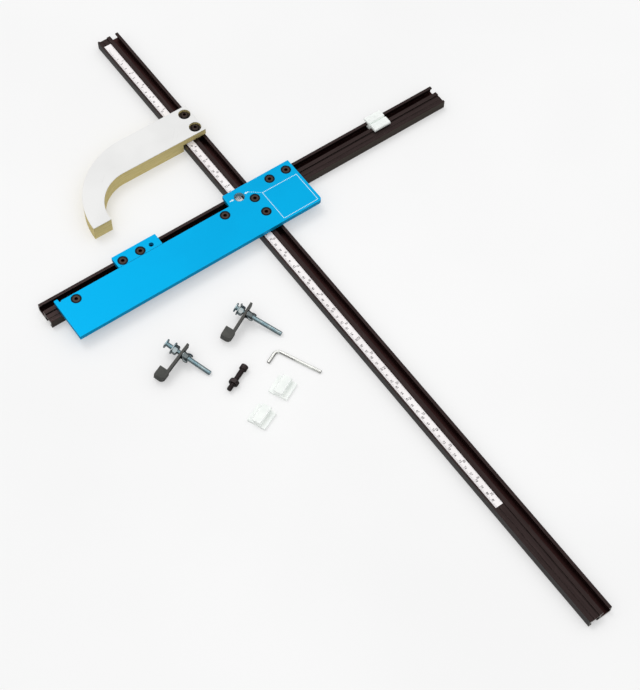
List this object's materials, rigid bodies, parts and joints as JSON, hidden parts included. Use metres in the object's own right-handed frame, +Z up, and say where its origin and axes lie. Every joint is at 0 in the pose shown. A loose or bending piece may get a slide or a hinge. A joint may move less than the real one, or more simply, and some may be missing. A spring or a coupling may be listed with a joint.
{
  "type": "circle cutting jig",
  "caption": "Bandsaw circle cutting jig: T-slot rails, a sliding scale bar with a tape, a joining plate with a sight window, a stop plate, a curved arm, pads and clamps.",
  "frame": {"origin": "on the table under the crossing of the rails' and the scale bar's centre lines", "axes": "+X along the rails towards the right rail, +Y along the scale bar towards the curved arm, +Z up from the table"},
  "size_m": [0.6012, 1.016, 0.0234],
  "materials": {
    "blue_anodised": "satin blue anodised",
    "black_anodised": "satin black anodised extrusion",
    "black_steel": "black oxide",
    "zinc_steel": "bright zinc plate",
    "dark_steel": "dark plated",
    "nickel": "nickel plate",
    "tape": "printed matt",
    "board": "sawn board edge",
    "facing": "satin laminate",
    "pad_plastic": "waxy translucent",
    "rubber": "matt moulded"
  },
  "bodies": {
    "frame": {"base_plate": "blue_anodised", "left_rail": "black_anodised", "left_rail_screws": "black_steel", "left_rail_nuts": "black_steel", "bar_t_nuts": "zinc_steel", "rail_t_nuts": "zinc_steel", "spare_pad_1": "pad_plastic", "spare_pad_2": "pad_plastic", "clamp_1_strap": "dark_steel", "clamp_1_foot": "rubber", "clamp_2_strap": "dark_steel", "clamp_2_foot": "rubber", "hex_key": "nickel", "stop_screw": "black_steel"},
    "scale_bar": {"scale_bar": "black_anodised", "scale_tape": "tape"},
    "right_rail": {"right_rail": "black_anodised"},
    "stop": {"stop_plate": "blue_anodised", "stop_t_nuts": "zinc_steel"},
    "arm": {"arm_board": "board", "arm_top_facing": "facing", "arm_washers": "black_steel", "arm_t_nuts": "zinc_steel"},
    "support_pad": {"support_pad": "pad_plastic"},
    "stop_nut": {"stop_nut": "black_steel"},
    "bar_lock_screw_1": {"bar_lock_screw_1": "black_steel"},
    "bar_lock_screw_2": {"bar_lock_screw_2": "black_steel"},
    "rail_lock_screw_1": {"rail_lock_screw_1": "black_steel"},
    "rail_lock_screw_2": {"rail_lock_screw_2": "black_steel"},
    "stop_lock_screw_1": {"stop_lock_screw_1": "black_steel"},
    "stop_lock_screw_2": {"stop_lock_screw_2": "black_steel"},
    "arm_screw_1": {"arm_screw_1": "black_steel"},
    "arm_screw_2": {"arm_screw_2": "black_steel"},
    "clamp_1_bolt": {"clamp_1_bolt": "zinc_steel", "clamp_1_washer": "zinc_steel", "clamp_1_nut": "zinc_steel"},
    "clamp_1_wing_nut": {"clamp_1_wing_nut": "zinc_steel"},
    "clamp_2_bolt": {"clamp_2_bolt": "zinc_steel", "clamp_2_washer": "zinc_steel", "clamp_2_nut": "zinc_steel"},
    "clamp_2_wing_nut": {"clamp_2_wing_nut": "zinc_steel"}
  },
  "joints": [
    {"name": "bar_slide", "type": "slide", "parent": "frame", "child": "scale_bar", "axis": [0, 1, 0], "range_m": [-0.02, 0.6]},
    {"name": "arm_slide", "type": "slide", "parent": "scale_bar", "child": "arm", "axis": [0, 1, 0], "range_m": [-0.02, 0.15]},
    {"name": "right_rail_slide", "type": "slide", "parent": "frame", "child": "right_rail", "axis": [1, 0, 0], "range_m": [-0.0095, 0.01]},
    {"name": "stop_slide", "type": "slide", "parent": "frame", "child": "stop", "axis": [1, 0, 0], "range_m": [-0.082, 0.097]},
    {"name": "pad_slide", "type": "slide", "parent": "right_rail", "child": "support_pad", "axis": [1, 0, 0], "range_m": [-0.11, 0.08]},
    {"name": "bar_lock_screw_1_turn", "type": "hinge", "parent": "frame", "child": "bar_lock_screw_1", "pos_m": [0.0076, -0.0068, 0.015], "axis": [0, 0, 1], "range_deg": [0, 270]},
    {"name": "bar_lock_screw_2_turn", "type": "hinge", "parent": "frame", "child": "bar_lock_screw_2", "pos_m": [0.0076, -0.0322, 0.015], "axis": [0, 0, 1], "range_deg": [0, 270]},
    {"name": "rail_lock_screw_1_turn", "type": "hinge", "parent": "frame", "child": "rail_lock_screw_1", "pos_m": [0.0654, 0.0076, 0.015], "axis": [0, 0, 1], "range_deg": [0, 270]},
    {"name": "rail_lock_screw_2_turn", "type": "hinge", "parent": "frame", "child": "rail_lock_screw_2", "pos_m": [0.04, 0.0076, 0.015], "axis": [0, 0, 1], "range_deg": [0, 270]},
    {"name": "stop_lock_screw_1_turn", "type": "hinge", "parent": "stop", "child": "stop_lock_screw_1", "pos_m": [-0.1793, 0.0076, 0.015], "axis": [0, 0, 1], "range_deg": [0, 270]},
    {"name": "stop_lock_screw_2_turn", "type": "hinge", "parent": "stop", "child": "stop_lock_screw_2", "pos_m": [-0.1539, 0.0076, 0.015], "axis": [0, 0, 1], "range_deg": [0, 270]},
    {"name": "arm_screw_1_turn", "type": "hinge", "parent": "arm", "child": "arm_screw_1", "pos_m": [0.0076, 0.1553, 0.015], "axis": [0, 0, 1], "range_deg": [0, 270]},
    {"name": "arm_screw_2_turn", "type": "hinge", "parent": "arm", "child": "arm_screw_2", "pos_m": [0.0076, 0.1299, 0.015], "axis": [0, 0, 1], "range_deg": [0, 270]},
    {"name": "clamp_1_bolt_slide", "type": "slide", "parent": "frame", "child": "clamp_1_bolt", "axis": [0.3727, -0.9043, -0.2079], "range_m": [-0.031, 0]},
    {"name": "clamp_1_wing_nut_turn", "type": "hinge", "parent": "frame", "child": "clamp_1_wing_nut", "pos_m": [-0.19135, -0.14198, 0.01121], "axis": [0.3727, -0.9043, -0.2079], "continuous": true},
    {"name": "clamp_2_bolt_slide", "type": "slide", "parent": "frame", "child": "clamp_2_bolt", "axis": [0.4364, -0.8754, -0.2079], "range_m": [-0.04, 0]},
    {"name": "clamp_2_wing_nut_turn", "type": "hinge", "parent": "frame", "child": "clamp_2_wing_nut", "pos_m": [-0.09708, -0.13927, 0.01298], "axis": [0.4364, -0.8754, -0.2079], "continuous": true},
    {"name": "stop_nut_turn", "type": "hinge", "parent": "frame", "child": "stop_nut", "pos_m": [-0.16062, -0.20761, 0.00555], "axis": [-0.9048, -0.4258, 0], "continuous": true}
  ]
}
